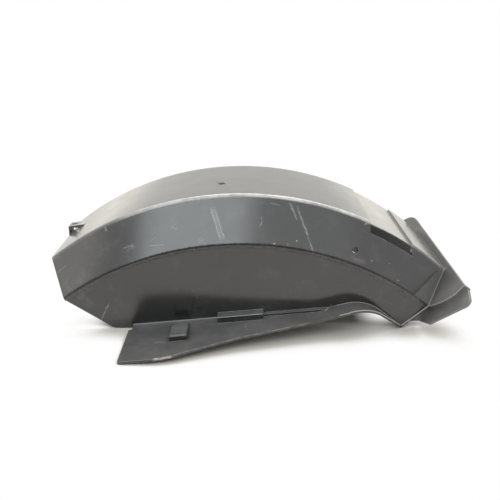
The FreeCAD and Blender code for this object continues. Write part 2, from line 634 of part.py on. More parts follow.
# Fixing hole through the near shoulder, and the dimpled hole through the crown.
hole_point = arch_point("Sizes.side_hole_share", "Sizes.side_hole_angle")
HOLE_EDGE = f"({HALF} + Sizes.side_hole_share * Sizes.shoulder_width)"
SLOPE_TILT = "atan2(Sizes.shoulder_width; Sizes.shoulder_drop * cos(Sizes.side_hole_angle))"
side_hole = disc(
    "SideHoleRing", "XZ_Plane", "0", "0", "Sizes.side_hole",
    place={"x": hole_point[0], "y": hole_point[1], "z": HOLE_EDGE},
    tilt=SLOPE_TILT, hinge=("-cos(Sizes.side_hole_angle)", "sin(Sizes.side_hole_angle)"),
)
extrude("Pocket", "SideHole", side_hole, "4 * Sizes.shoulder_depth", middle=True)
TOP_PLACE = ("-Sizes.top_hole_place", f"-({HALF} - Sizes.top_hole_inset)")
TOP_SAG = "(Sizes.crown_radius - sqrt(Sizes.crown_radius ^ 2 - Sizes.top_hole_place ^ 2))"
dimple = disc("DimpleRing", "XY_Plane", *TOP_PLACE, "Sizes.dimple", place={"z": "Sizes.crest_height"})
extrude("Pocket", "Dimple", dimple, f"{TOP_SAG} + Sizes.dimple_depth")
top_hole = disc("TopHoleRing", "XY_Plane", *TOP_PLACE, "Sizes.top_hole", place={"z": "Sizes.crest_height"})
extrude("Pocket", "TopHole", top_hole, f"{TOP_SAG} + 2 * Sizes.crown_wall")

# Wedge loop on the left end of the crown, with its window and the slit through its top.
LOOP_NEAR = f"({HALF} - Sizes.loop_inset)"
LOOP_END = f"({LEFT} + Sizes.loop_angle)"
WINDOW_START = f"({LEFT} + Sizes.window_start)"
loop_foot = arch_point("0", LEFT, "-Sizes.crown_wall / 2")
loop_root = arch_point("0", LEFT)
window_foot = arch_point("0", WINDOW_START, "Sizes.loop_bar / 2")
loop_points = [
    loop_foot,
    (loop_foot[0], f"{loop_root[1]} + Sizes.loop_rise"),
    arch_point("0", LOOP_END),
    arch_point("0", LOOP_END, "-Sizes.crown_wall / 2"),
]
loop_outline = outline("LoopOutline", "XZ_Plane", loop_points, place={"z": LOOP_NEAR})
extrude("Pad", "Loop", loop_outline, "Sizes.loop_width", reverse=True)
window_points = [
    window_foot,
    (window_foot[0], f"{loop_root[1]} + Sizes.loop_rise - Sizes.loop_bar"),
    arch_point("0", f"({LEFT} + Sizes.window_end)", "Sizes.loop_bar / 2"),
]
window = outline("WindowOutline", "XZ_Plane", window_points, place={"z": LOOP_NEAR})
extrude("Pocket", "LoopWindow", window, "Sizes.loop_width")
SLIT_MIDDLE = f"({LOOP_NEAR} - Sizes.loop_width / 2)"
SLIT_LEFT = f"({window_foot[0]} + Sizes.loop_bar / 2)"
slit_points = [
    (SLIT_LEFT, f"-{SLIT_MIDDLE} - Sizes.slit_width / 2"),
    (f"{SLIT_LEFT} + Sizes.slit_length", f"-{SLIT_MIDDLE} - Sizes.slit_width / 2"),
    (f"{SLIT_LEFT} + Sizes.slit_length", f"-{SLIT_MIDDLE} + Sizes.slit_width / 2"),
    (SLIT_LEFT, f"-{SLIT_MIDDLE} + Sizes.slit_width / 2"),
]
SLIT_TOP = f"({loop_root[1]} + 2 * Sizes.loop_rise)"
slit = outline("SlitOutline", "XY_Plane", slit_points, place={"z": SLIT_TOP})
extrude("Pocket", "LoopSlit", slit, "Sizes.loop_rise + 1.5 * Sizes.loop_bar")

# Set the piece down with the origin under the middle of its box.
box = body.Shape.optimalBoundingBox(False)
body.Placement.Base = FreeCAD.Vector(-(box.XMin + box.XMax) / 2, -(box.YMin + box.YMax) / 2, -box.ZMin)
doc.recompute()

for item in doc.Objects:
    if "Invalid" in item.State or "Error" in item.State:
        raise RuntimeError(f"{item.Name} failed: {item.State}")
if body.Shape.isNull() or not body.Shape.isValid() or len(body.Shape.Solids) != 1:
    raise RuntimeError(f"{body.Label} is not one valid solid")
os.makedirs("parts", exist_ok=True)
body.Shape.exportStep(f"parts/{body.Label}.step")
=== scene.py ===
"""Motorcycle inner fender: a scuffed black moulded arch lying on a white studio floor."""

import logging
import math
from dataclasses import dataclass
from enum import Enum

import bmesh
import bpy
from mathutils import Euler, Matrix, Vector


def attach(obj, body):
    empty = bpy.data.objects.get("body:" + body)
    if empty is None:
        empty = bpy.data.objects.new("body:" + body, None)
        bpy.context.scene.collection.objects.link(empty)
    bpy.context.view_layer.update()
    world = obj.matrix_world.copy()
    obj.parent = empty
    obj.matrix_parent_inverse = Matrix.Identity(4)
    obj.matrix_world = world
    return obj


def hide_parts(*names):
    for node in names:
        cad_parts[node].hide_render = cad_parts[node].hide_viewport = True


logging.basicConfig(level=logging.INFO, format="%(name)s: %(message)s")
log = logging.getLogger("inner_fender")

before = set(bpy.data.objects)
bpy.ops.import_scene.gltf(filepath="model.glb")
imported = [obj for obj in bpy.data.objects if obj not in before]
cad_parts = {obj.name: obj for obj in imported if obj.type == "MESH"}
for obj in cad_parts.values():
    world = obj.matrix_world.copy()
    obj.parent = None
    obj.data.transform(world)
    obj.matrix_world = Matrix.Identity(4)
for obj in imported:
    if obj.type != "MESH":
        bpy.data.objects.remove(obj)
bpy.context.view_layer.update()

Point = tuple[float, float, float]
Tint = tuple[float, float, float]
Colour = tuple[float, float, float, float]
Span = tuple[float, float]
Socket = bpy.types.NodeSocket
Input = Socket | float | tuple[float, ...]

WHITE: Colour = (1.0, 1.0, 1.0, 1.0)
CREST: Point = (-0.013882, 0.027250, 0.0)  # crest of the arch on the ground, in the part's frame


class MarkKind(Enum):
    """How a mark shows on the plastic, with the scale of the noise that breaks it up."""

    SCRATCH = 120.0
    SMEAR = 45.0
    SCUFF = 900.0
    SPECK = 90.0


@dataclass(frozen=True)
class Mark:
    """One worn line on the moulding, in metres in the part's frame."""

    start: Point
    end: Point
    width: float
    strength: float
    kind: MarkKind = MarkKind.SCRATCH


@dataclass(frozen=True)
class Ramp:
    """A smooth change between two results over a range."""

    reach: Span
    onto: Span = (0.0, 1.0)


@dataclass(frozen=True)
class Grain:
    """A noise by its scale per metre, its octaves and the weight of the finer ones."""

    scale: float
    detail: float
    rough: float = 0.5


@dataclass(frozen=True)
class Relief:
    """A low relief by its noise, its strength and its depth in metres."""

    grain: Grain
    strength: float
    depth: float


@dataclass(frozen=True)
class NodeBench:
    """Small helper that adds and links nodes in one tree."""

    tree: bpy.types.NodeTree

    def add(self, kind: str, **values: object) -> bpy.types.Node:
        """Adds a node and sets its plain properties.

        Args:
            kind: Blender's identifier of the node type.
            **values: Properties to set on the node.

        Returns:
            The new node.
        """
        node = self.tree.nodes.new(kind)
        for name, value in values.items():
            setattr(node, name, value)
        return node

    def link(self, source: Socket, target: Socket) -> None:
        """Links an output to an input."""
        self.tree.links.new(source, target)

    def feed(self, target: Socket, value: Input) -> None:
        """Links a socket to an input, or sets the input to a plain value.

        Args:
            target: The input.
            value: Socket, number or vector for it.
        """
        if isinstance(value, Socket):
            self.link(value, target)
        else:
            target.default_value = value

    def math(self, operation: str, first: Input, second: Input = 0.0, clamp: bool = False) -> Socket:
        """Adds a Math node over sockets or numbers.

        Args:
            operation: The Math node's operation.
            first: Socket or number for the first input.
            second: Socket or number for the second input.
            clamp: Whether the result stays between 0 and 1.

        Returns:
            The result's socket.
        """
        node = self.add("ShaderNodeMath", operation=operation, use_clamp=clamp)
        self.feed(node.inputs[0], first)
        self.feed(node.inputs[1], second)
        return node.outputs[0]

    def vector(self, operation: str, first: Input, second: Input) -> bpy.types.Node:
        """Adds a Vector Math node over sockets or vectors.

        Args:
            operation: The node's operation.
            first: Socket or vector for the first input.
            second: Socket or vector for the second input.

        Returns:
            The node.
        """
        node = self.add("ShaderNodeVectorMath", operation=operation)
        self.feed(node.inputs[0], first)
        self.feed(node.inputs[1], second)
        return node

    def length(self, across: Input, up: Input) -> Socket:
        """Adds the length of a flat vector.

        Args:
            across: First component, as a socket or number.
            up: Second component, as a socket or number.

        Returns:
            The length's socket.
        """
        pair = self.add("ShaderNodeCombineXYZ")
        self.feed(pair.inputs["X"], across)
        self.feed(pair.inputs["Y"], up)
        size = self.add("ShaderNodeVectorMath", operation="LENGTH")
        self.link(pair.outputs["Vector"], size.inputs[0])
        return size.outputs["Value"]

    def split(self, value: Socket) -> bpy.types.NodeOutputs:
        """Adds a node that splits a vector.

        Args:
            value: The vector's socket.

        Returns:
            The outputs X, Y and Z.
        """
        node = self.add("ShaderNodeSeparateXYZ")
        self.link(value, node.inputs["Vector"])
        return node.outputs

    def spread(self, value: Socket, ramp: Ramp) -> Socket:
        """Maps a range smoothly onto another.

        Args:
            value: The socket to map.
            ramp: The range read and the results at its ends.

        Returns:
            The mapped socket.
        """
        node = self.add("ShaderNodeMapRange", interpolation_type="SMOOTHSTEP")
        self.link(value, node.inputs["Value"])
        node.inputs["From Min"].default_value, node.inputs["From Max"].default_value = ramp.reach
        node.inputs["To Min"].default_value, node.inputs["To Max"].default_value = ramp.onto
        return node.outputs["Result"]

    def noise(self, place: Socket, grain: Grain) -> bpy.types.NodeOutputs:
        """Adds a noise over a place.

        Args:
            place: The coordinates.
            grain: The noise's scale and fineness.

        Returns:
            The outputs Fac and Color.
        """
        node = self.add("ShaderNodeTexNoise")
        self.link(place, node.inputs["Vector"])
        node.inputs["Scale"].default_value = grain.scale
        node.inputs["Detail"].default_value = grain.detail
        node.inputs["Roughness"].default_value = grain.rough
        return node.outputs

    def patches(self, place: Socket, grain: Grain, ramp: Ramp) -> Socket:
        """Maps a noise over a place onto a range."""
        return self.spread(self.noise(place, grain)["Fac"], ramp)

    def bump(self, place: Socket, relief: Relief, normal: Socket) -> Socket:
        """Adds a low relief to a surface's direction.

        Args:
            place: The coordinates.
            relief: The relief's noise, strength and depth.
            normal: The direction under the relief.

        Returns:
            The direction with the relief.
        """
        node = self.add("ShaderNodeBump")
        node.inputs["Strength"].default_value = relief.strength
        node.inputs["Distance"].default_value = relief.depth
        self.link(self.noise(place, relief.grain)["Fac"], node.inputs["Height"])
        self.link(normal, node.inputs["Normal"])
        return node.outputs["Normal"]

    def blend(self, share: Socket, first: Input, second: Input) -> Socket:
        """Mixes two colours.

        Args:
            share: Share of the second colour.
            first: Socket or colour.
            second: Socket or colour.

        Returns:
            The mixed colour.
        """
        node = self.add("ShaderNodeMix", data_type="RGBA")
        self.link(share, node.inputs["Factor"])
        for name, value in (("A", first), ("B", second)):
            self.feed(next(s for s in node.inputs if s.name == name and s.type == "RGBA"), value)
        return next(s for s in node.outputs if s.type == "RGBA")


@dataclass(frozen=True)
class ArchLine:
    """A line that runs along the arch on both sides of the crown."""

    beside: float
    centre: float
    radius: float

    def distance(self, bench: NodeBench, place: bpy.types.NodeOutputs, aside: Socket) -> Socket:
        """Measures how far a place is from the line.

        Args:
            bench: The material's bench.
            place: X, Y and Z from the crest.
            aside: Distance from the middle of the crown.

        Returns:
            The distance's socket.
        """
        height = bench.math("SUBTRACT", place["Z"], self.centre)
        over = bench.math("SUBTRACT", bench.length(place["X"], height), self.radius)
        return bench.length(over, bench.math("SUBTRACT", aside, self.beside))


CROWN_EDGE = ArchLine(0.0760, -0.2030, 0.3550)


@dataclass(frozen=True)
class EndFlange:
    """Where the flange across the right end lies, for its finish and its beads."""

    crown: Span = (0.237081, 0.061231)
    step: Span = (0.213991, 0.027561)
    crown_beside: float = 0.076
    step_beside: float = 0.106
    near_corner: Span = (-0.141, 0.007)
    bend: Span = (-0.138, -0.007)
    crease_round: float = 0.095
    half_plate: float = 0.0015
    foot: Point = (0.184, -0.1035, 0.0)

    @property
    def tilt(self) -> float:
        """Lean of the flange from upright."""
        return math.atan2(self.crown[0] - self.step[0], self.crown[1] - self.step[1])

    @property
    def drop(self) -> float:
        """Length of the shoulder's end, down the flange."""
        return math.dist(self.crown, self.step)

    @property
    def normal(self) -> Point:
        """Direction out of the right end."""
        return (math.cos(self.tilt), 0.0, -math.sin(self.tilt))

    def point(self, across: float, up: float, out: float) -> Point:
        """Turns a place on the flange into the part's frame.

        Args:
            across: Place across the arch, from the middle of the crown.
            up: Place up the flange, from the crown's end.
            out: Distance out of the right end.

        Returns:
            The point in metres.
        """
        run = self.crown[0] + up * math.sin(self.tilt) + out * math.cos(self.tilt)
        rise = self.crown[1] + up * math.cos(self.tilt) - out * math.sin(self.tilt)
        return (run + CREST[0], across + CREST[1], rise)

    def crease(self, steps: int = 14) -> list[Point]:
        """Follows the crease from the near corner to the wall's foot.

        Args:
            steps: Number of stretches on the curved part.

        Returns:
            The points in order.
        """
        start = Vector(self.bend)
        end = Vector((-self.step_beside, -self.drop))
        chord = end - start
        side = Vector((-chord.y, chord.x)).normalized()
        reach = math.sqrt(self.crease_round ** 2 - (chord.length / 2) ** 2)
        centre = (start + end) / 2 + side * reach
        first = math.atan2(start.y - centre.y, start.x - centre.x)
        last = math.atan2(end.y - centre.y, end.x - centre.x)
        turn = (last - first + math.pi) % (2 * math.pi) - math.pi
        flat = [Vector(self.near_corner)]
        for step in range(steps + 1):
            angle = first + turn * step / steps
            flat.append(centre + self.crease_round * Vector((math.cos(angle), math.sin(angle))))
        path = [self.point(spot.x, spot.y, -self.half_plate) for spot in flat]
        run, across, rise = self.foot
        path.append((run + CREST[0], across + CREST[1], rise + 2 * self.half_plate))
        return path

    def shoulder_end(self) -> list[Point]:
        """Follows the corner between the shoulder's end and the flange."""
        top = self.point(-self.crown_beside, 0.0, -self.half_plate)
        return [top, self.point(-self.step_beside, -self.drop, -self.half_plate)]


@dataclass(frozen=True)
class MouldedPlastic:
    """Glossy black moulded plastic with dust and handling wear."""

    name: str = "black_plastic"
    base: Colour = (0.020, 0.020, 0.021, 1.0)
    faded: Colour = (0.030, 0.029, 0.028, 1.0)
    fade_grain: Grain = Grain(9.0, 3.0)
    fade: Ramp = Ramp((0.35, 0.70), (0.0, 0.8))
    wipe_grain: Grain = Grain(34.0, 4.0, 0.6)
    # dust on flat tops, by the surface's slope, the wiping and the height
    dust_and_painted_light: Colour = (0.27, 0.27, 0.265, 1.0)
    dust_tops: Ramp = Ramp((0.60, 0.98))
    dust_patches: Ramp = Ramp((0.30, 0.70), (0.36, 0.52))
    dust_height: Ramp = Ramp((0.05, 0.10), (1.0, 0.68))
    # painted glare on the crown: a pale painted reflection, by the turn along the arch
    painted_glare: Colour = (0.56, 0.54, 0.49, 1.0)
    seat_edge: Ramp = Ramp((math.radians(24.4) - 0.002, math.radians(24.4) + 0.002))
    right_glare: Ramp = Ramp((math.radians(24.4), math.radians(34.5)), (0.10, 0.24))
    left_glare: Ramp = Ramp((0.36, math.radians(34.5)), (0.0, 0.22))
    crown_width: Ramp = Ramp((0.0745, 0.0775), (1.0, 0.0))
    crown_height: Ramp = Ramp((0.055, 0.075))
    crown_slope: Ramp = Ramp((0.30, 0.52))
    glare_patches: Ramp = Ramp((0.25, 0.75), (0.75, 1.0))
    # painted light in the corner by the end flange: pale colour lifting a shaded patch
    corner_lean: float = 0.69
    corner_reach: Ramp = Ramp((0.0056, 0.0104), (0.42, 0.0))
    corner_side: Ramp = Ramp((0.45, 0.75))
    corner_slant: Ramp = Ramp((0.25, 0.40))
    # greasy smudges
    smudge_grain: Grain = Grain(48.0, 5.0, 0.65)
    smudge_blots: Ramp = Ramp((0.50, 0.72), (0.0, 0.16))
    smudge_end: Ramp = Ramp((-0.205, -0.130), (1.0, 0.40))
    # aged end flange, palest toward its lip, where the extra pale is painted light over the lip's
    # shade
    pale: Colour = (0.060, 0.059, 0.058, 1.0)
    painted_lip_light: Colour = (0.215, 0.212, 0.209, 1.0)
    flange_face: Ramp = Ramp((0.0003, 0.0011), (0.85, 0.0))
    flange_lip: Ramp = Ramp((-0.115, -0.055), (1.0, 0.0))
    flange_patches: Ramp = Ramp((0.25, 0.75), (0.7, 1.0))
    # scraped marks, strayed sideways and broken up; some of them are painted highlights along edges
    scraped_and_highlight: Colour = (0.60, 0.60, 0.59, 1.0)
    stray: float = 0.0030
    stray_grain: Grain = Grain(170.0, 3.0)
    mark_sides: Ramp = Ramp((0.15, 1.0), (1.0, 0.0))
    mark_ends: Ramp = Ramp((0.0, 0.12), (0.45, 1.0))
    break_detail: float = 6.0
    break_rough: float = 0.7
    mark_breaks: Ramp = Ramp((0.36, 0.60), (0.35, 1.0))
    # rubbed crown edges and worn corners, both partly painted highlight
    rubbed_highlight: float = 0.9
    rubbed_middle: float = 0.015
    rubbed_band: Ramp = Ramp((0.0020, 0.0044), (1.0, 0.0))
    rubbed_length: Ramp = Ramp((0.125, 0.165), (1.0, 0.2))
    rubbed_grain: Grain = Grain(55.0, 5.0, 0.65)
    rubbed_patches: Ramp = Ramp((0.30, 0.62), (0.55, 1.0))
    edge_reach: float = 0.0009
    edge_samples: int = 6
    edge_turn: Ramp = Ramp((0.78, 0.965), (0.45, 0.0))
    edge_grain: Grain = Grain(130.0, 4.0, 0.6)
    edge_patches: Ramp = Ramp((0.35, 0.65), (0.2, 1.0))
    # gloss and relief of the skin
    roughness: Ramp = Ramp((0.25, 0.75), (0.13, 0.21))
    worn_roughness: float = 0.25
    flange_roughness: float = 0.35
    ripple: Relief = Relief(Grain(18.0, 1.0), strength=0.05, depth=0.002)
    skin: Relief = Relief(Grain(1400.0, 2.0), strength=0.12, depth=0.0002)
    refraction: float = 1.5
    gloss: float = 1.0
    flange: EndFlange = EndFlange()
    marks: tuple[Mark, ...] = ()

    def mark_group(self) -> bpy.types.NodeTree:
        """Builds the group that measures the distance to one worn line.

        Returns:
            The group, with inputs Place, Start, Run, Width and Strength.
        """
        group = bpy.data.node_groups.new("worn_line", "ShaderNodeTree")
        inputs = {"Place": "Vector", "Start": "Vector", "Run": "Vector",
                  "Width": "Float", "Strength": "Float"}
        for label, kind in inputs.items():
            group.interface.new_socket(name=label, in_out="INPUT", socket_type=f"NodeSocket{kind}")
        group.interface.new_socket(name="Mask", in_out="OUTPUT", socket_type="NodeSocketFloat")
        bench = NodeBench(group)
        entry = bench.add("NodeGroupInput").outputs
        leave = bench.add("NodeGroupOutput").inputs
        offset = bench.vector("SUBTRACT", entry["Place"], entry["Start"]).outputs["Vector"]
        along = bench.vector("DOT_PRODUCT", offset, entry["Run"]).outputs["Value"]
        whole = bench.vector("DOT_PRODUCT", entry["Run"], entry["Run"]).outputs["Value"]
        share = bench.math("DIVIDE", along, whole, clamp=True)
        scaled = bench.add("ShaderNodeVectorMath", operation="SCALE")
        bench.link(entry["Run"], scaled.inputs["Vector"])
        bench.link(share, scaled.inputs["Scale"])
        gap = bench.vector("DISTANCE", offset, scaled.outputs["Vector"]).outputs["Value"]
        sides = bench.spread(bench.math("DIVIDE", gap, entry["Width"]), self.mark_sides)
        taper = bench.math("MULTIPLY", share, bench.math("SUBTRACT", 1.0, share))
        ends = bench.spread(taper, self.mark_ends)
        mask = bench.math("MULTIPLY", bench.math("MULTIPLY", sides, ends), entry["Strength"])
        bench.link(mask, leave["Mask"])
        return group

    def strayed(self, bench: NodeBench, place: Socket) -> Socket:
        """Shifts a place a little by noise, so that a straight line wavers.

        Args:
            bench: The material's bench.
            place: Object coordinates.

        Returns:
            The shifted place.
        """
        wander = bench.noise(place, self.stray_grain)["Color"]
        shift = bench.add("ShaderNodeVectorMath", operation="MULTIPLY_ADD")
        bench.link(wander, shift.inputs[0])
        shift.inputs[1].default_value = (self.stray,) * 3
        shift.inputs[2].default_value = (-self.stray / 2,) * 3
        return bench.vector("ADD", place, shift.outputs["Vector"]).outputs["Vector"]

    def marked(self, bench: NodeBench, place: Socket) -> Socket:
        """Adds every mark and breaks each kind up with its own noise.

        Args:
            bench: The material's bench.
            place: Object coordinates.

        Returns:
            The strength of the marks.
        """
        group = self.mark_group()
        strayed = self.strayed(bench, place)
        total: Input = 0.0
        for kind in MarkKind:
            worn_and_highlight: Input = 0.0
            for mark in (m for m in self.marks if m.kind is kind):
                node = bench.add("ShaderNodeGroup", node_tree=group)
                bench.link(strayed, node.inputs["Place"])
                node.inputs["Start"].default_value = mark.start
                node.inputs["Run"].default_value = tuple(b - a for a, b in zip(mark.start, mark.end))
                node.inputs["Width"].default_value = mark.width
                node.inputs["Strength"].default_value = mark.strength
                worn_and_highlight = bench.math("MAXIMUM", worn_and_highlight, node.outputs["Mask"])
            breaks = Grain(kind.value, self.break_detail, self.break_rough)
            broken = bench.patches(place, breaks, self.mark_breaks)
            total = bench.math("MAXIMUM", total, bench.math("MULTIPLY", worn_and_highlight, broken))
        return total

    def rubbed_edge_and_highlight(self, bench: NodeBench, place: Socket) -> Socket:
        """Finds the crown's rounded edges, where handling has rubbed the skin pale and a highlight is
        painted.

        Args:
            bench: The material's bench.
            place: Object coordinates.

        Returns:
            The strength of the rubbing and painted highlight.
        """
        from_crest = bench.split(bench.vector("SUBTRACT", place, CREST).outputs["Vector"])
        aside = bench.math("ABSOLUTE", from_crest["Y"])
        near = bench.spread(CROWN_EDGE.distance(bench, from_crest, aside), self.rubbed_band)
        along = bench.math("ABSOLUTE", bench.math("SUBTRACT", from_crest["X"], self.rubbed_middle))
        middle = bench.spread(along, self.rubbed_length)
        patchy = bench.patches(place, self.rubbed_grain, self.rubbed_patches)
        band = bench.math("MULTIPLY", near, middle)
        return bench.math("MULTIPLY", band, bench.math("MULTIPLY", patchy, self.rubbed_highlight))

    def settled_dust(self, bench: NodeBench, place: Socket, lying: Socket, smear: Socket) -> Socket:
        """Finds the dust that lies on flat tops, thinner up on the crown.

        Args:
            bench: The material's bench.
            place: Object coordinates.
            lying: How far the surface lies flat.
            smear: Noise of the wiping.

        Returns:
            The share of the dust.
        """
        wiped = bench.spread(bench.split(place)["Z"], self.dust_height)
        share = bench.spread(smear, self.dust_patches)
        return bench.math("MULTIPLY", bench.math("MULTIPLY", lying, share), wiped)

    def painted_glare_ends(self, bench: NodeBench, place: Socket, smear: Socket, upward: Socket) -> Socket:
        """Finds the painted glare on the crown, a pale painted reflection past the strap seat's edge
        and near the left end.

        Args:
            bench: The material's bench.
            place: Object coordinates.
            smear: Noise of the wiping.
            upward: How far the surface faces up.

        Returns:
            The share of the painted glare.
        """
        from_crest = bench.split(bench.vector("SUBTRACT", place, CREST).outputs["Vector"])
        height = bench.math("SUBTRACT", from_crest["Z"], CROWN_EDGE.centre)
        turn = bench.math("ARCTAN2", from_crest["X"], height)
        past = bench.spread(turn, self.seat_edge)
        right = bench.math("MULTIPLY", past, bench.spread(turn, self.right_glare))
        left = bench.spread(bench.math("MULTIPLY", turn, -1.0), self.left_glare)
        both = bench.math("MAXIMUM", right, left)
        on_crown = bench.spread(bench.math("ABSOLUTE", from_crest["Y"]), self.crown_width)
        high = bench.spread(from_crest["Z"], self.crown_height)
        even = bench.spread(smear, self.glare_patches)
        flat = bench.spread(upward, self.crown_slope)
        flat_top = bench.math("MULTIPLY", flat, bench.math("MULTIPLY", on_crown, high))
        return bench.math("MULTIPLY", bench.math("MULTIPLY", both, even), flat_top)

    def painted_corner_light(self, bench: NodeBench, place: Socket, inside: Socket,
                    facing: bpy.types.NodeOutputs) -> Socket:
        """Finds the painted light in the corner between the shoulder and the end flange, a pale patch
        over shade.

        Args:
            bench: The material's bench.
            place: Object coordinates.
            inside: Distance from the flange's face, inwards.
            facing: X, Y and Z of the surface's direction.

        Returns:
            The share of the painted light.
        """
        below = bench.math("SUBTRACT", self.flange.crown[1], bench.split(place)["Z"])
        past = bench.math("SUBTRACT", inside, bench.math("MULTIPLY", below, self.corner_lean))
        near = bench.spread(past, self.corner_reach)
        sideways = bench.spread(bench.math("MULTIPLY", facing["Y"], -1.0), self.corner_side)
        slanted = bench.spread(facing["Z"], self.corner_slant)
        return bench.math("MULTIPLY", near, bench.math("MULTIPLY", sideways, slanted))

    def smudges(self, bench: NodeBench, place: Socket) -> Socket:
        """Finds the greasy smudges, most of them on the left end.

        Args:
            bench: The material's bench.
            place: Object coordinates.

        Returns:
            The share of the smudges.
        """
        blot = bench.patches(place, self.smudge_grain, self.smudge_blots)
        return bench.math("MULTIPLY", blot, bench.spread(bench.split(place)["X"], self.smudge_end))

    def build(self) -> bpy.types.Material:
        """Builds the material from object coordinates.

        Returns:
            The finished material.
        """
        material = bpy.data.materials.new(self.name)
        material.use_nodes = True
        material.node_tree.nodes.clear()
        bench = NodeBench(material.node_tree)
        surface = bench.add("ShaderNodeBsdfPrincipled")
        output = bench.add("ShaderNodeOutputMaterial")
        bench.link(surface.outputs["BSDF"], output.inputs["Surface"])
        place = bench.add("ShaderNodeTexCoord").outputs["Object"]
        true_normal = bench.add("ShaderNodeNewGeometry").outputs["Normal"]
        eased = bench.add("ShaderNodeBevel", samples=self.edge_samples)
        eased.inputs["Radius"].default_value = self.edge_reach

        smear = bench.noise(place, self.wipe_grain)["Fac"]
        colour = bench.blend(bench.patches(place, self.fade_grain, self.fade), self.base, self.faded)
        facing = bench.split(true_normal)
        lying = bench.spread(facing["Z"], self.dust_tops)
        colour = bench.blend(self.settled_dust(bench, place, lying, smear), colour, self.dust_and_painted_light)
        # pale painted reflection on the crown's ends, drawn as colour
        colour = bench.blend(self.painted_glare_ends(bench, place, smear, facing["Z"]), colour, self.painted_glare)
        outward = bench.vector("DOT_PRODUCT", place, self.flange.normal).outputs["Value"]
        face = self.flange.point(0.0, 0.0, -self.flange.half_plate)
        inside = bench.math("SUBTRACT", sum(a * b for a, b in zip(face, self.flange.normal)), outward)
        # painted light: a pale patch over the shaded corner by the flange, in the dust colour
        colour = bench.blend(self.painted_corner_light(bench, place, inside, facing), colour, self.dust_and_painted_light)
        colour = bench.blend(self.smudges(bench, place), colour, self.dust_and_painted_light)
        beyond = bench.spread(inside, self.flange_face)
        # paler toward the lip: painted light over the set-back lip's shade
        toward_lip = bench.spread(bench.split(place)["Y"], self.flange_lip)
        aged_and_lip_light = bench.blend(toward_lip, self.pale, self.painted_lip_light)
        patch = bench.spread(smear, self.flange_patches)
        colour = bench.blend(bench.math("MULTIPLY", beyond, patch), colour, aged_and_lip_light)

        # pale edges from the bevel: partly worn corners, partly painted highlight along edges
        agree = bench.vector("DOT_PRODUCT", eased.outputs["Normal"], true_normal).outputs["Value"]
        edge = bench.spread(agree, self.edge_turn)
        edge = bench.math("MULTIPLY", edge, bench.patches(place, self.edge_grain, self.edge_patches))
        worn_and_highlight = bench.math("MAXIMUM", self.marked(bench, place), edge)
        worn_and_highlight = bench.math("MAXIMUM", worn_and_highlight, self.rubbed_edge_and_highlight(bench, place))
        # scraped colour: real marks and wear, plus painted highlights
        colour = bench.blend(worn_and_highlight, colour, self.scraped_and_highlight)
        bench.link(colour, surface.inputs["Base Color"])

        rough = bench.spread(smear, self.roughness)
        rough = bench.math("ADD", rough, bench.math("MULTIPLY", worn_and_highlight, self.worn_roughness))
        flange_rough = bench.math("MULTIPLY", beyond, self.flange_roughness)
        rough = bench.math("ADD", rough, flange_rough, clamp=True)
        bench.link(rough, surface.inputs["Roughness"])

        rippled = bench.bump(place, self.ripple, eased.outputs["Normal"])
        bench.link(bench.bump(place, self.skin, rippled), surface.inputs["Normal"])
        surface.inputs["IOR"].default_value = self.refraction
        surface.inputs["Specular IOR Level"].default_value = self.gloss
        return material


@dataclass
class FenderShell:
    """The whole moulding: crown, shoulders, walls, shelf, flange and lip."""

    node: str = "inner_fender"
    body: str = "root"
    piece: str = "fender_shell"
    weld: float = 2e-5
    flat_turn: float = math.radians(0.02)
    crisp_turn: float = math.radians(28.0)
    shading_weight: int = 50

    def merged(self) -> bpy.types.Object:
        """Copies the solid's mesh, closes its seams and joins its flat triangles.

        Returns:
            The new object, at the origin.
        """
        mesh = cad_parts[self.node].data.copy()
        mesh.name = self.piece
        work = bmesh.new()
        work.from_mesh(mesh)
        bmesh.ops.remove_doubles(work, verts=work.verts, dist=self.weld)
        bmesh.ops.dissolve_limit(work, angle_limit=self.flat_turn, verts=work.verts, edges=work.edges)
        for face in work.faces:
            face.smooth = True
        for edge in work.edges:
            if len(edge.link_faces) == 2:
                edge.smooth = edge.calc_face_angle() < self.crisp_turn
        work.to_mesh(mesh)
        work.free()
        piece = bpy.data.objects.new(self.piece, mesh)
        bpy.context.scene.collection.objects.link(piece)
        even = piece.modifiers.new("even_shading", "WEIGHTED_NORMAL")
        even.keep_sharp = True
        even.weight = self.shading_weight
        return piece

    def dress(self, piece: bpy.types.Object, finish: bpy.types.Material) -> None:
        """Gives the moulding its finish."""
        piece.data.materials.clear()
        piece.data.materials.append(finish)

    def build(self, finish: bpy.types.Material) -> bpy.types.Object:
        """Makes the moulding and hands it to the frame.

        Args:
            finish: The plastic it is dressed in.

        Returns:
            The finished piece.
        """
        piece = self.merged()
        self.dress(piece, finish)
        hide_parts(self.node)
        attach(piece, self.body)
        log.info("%s: %d faces", piece.name, len(piece.data.polygons))
        return piece


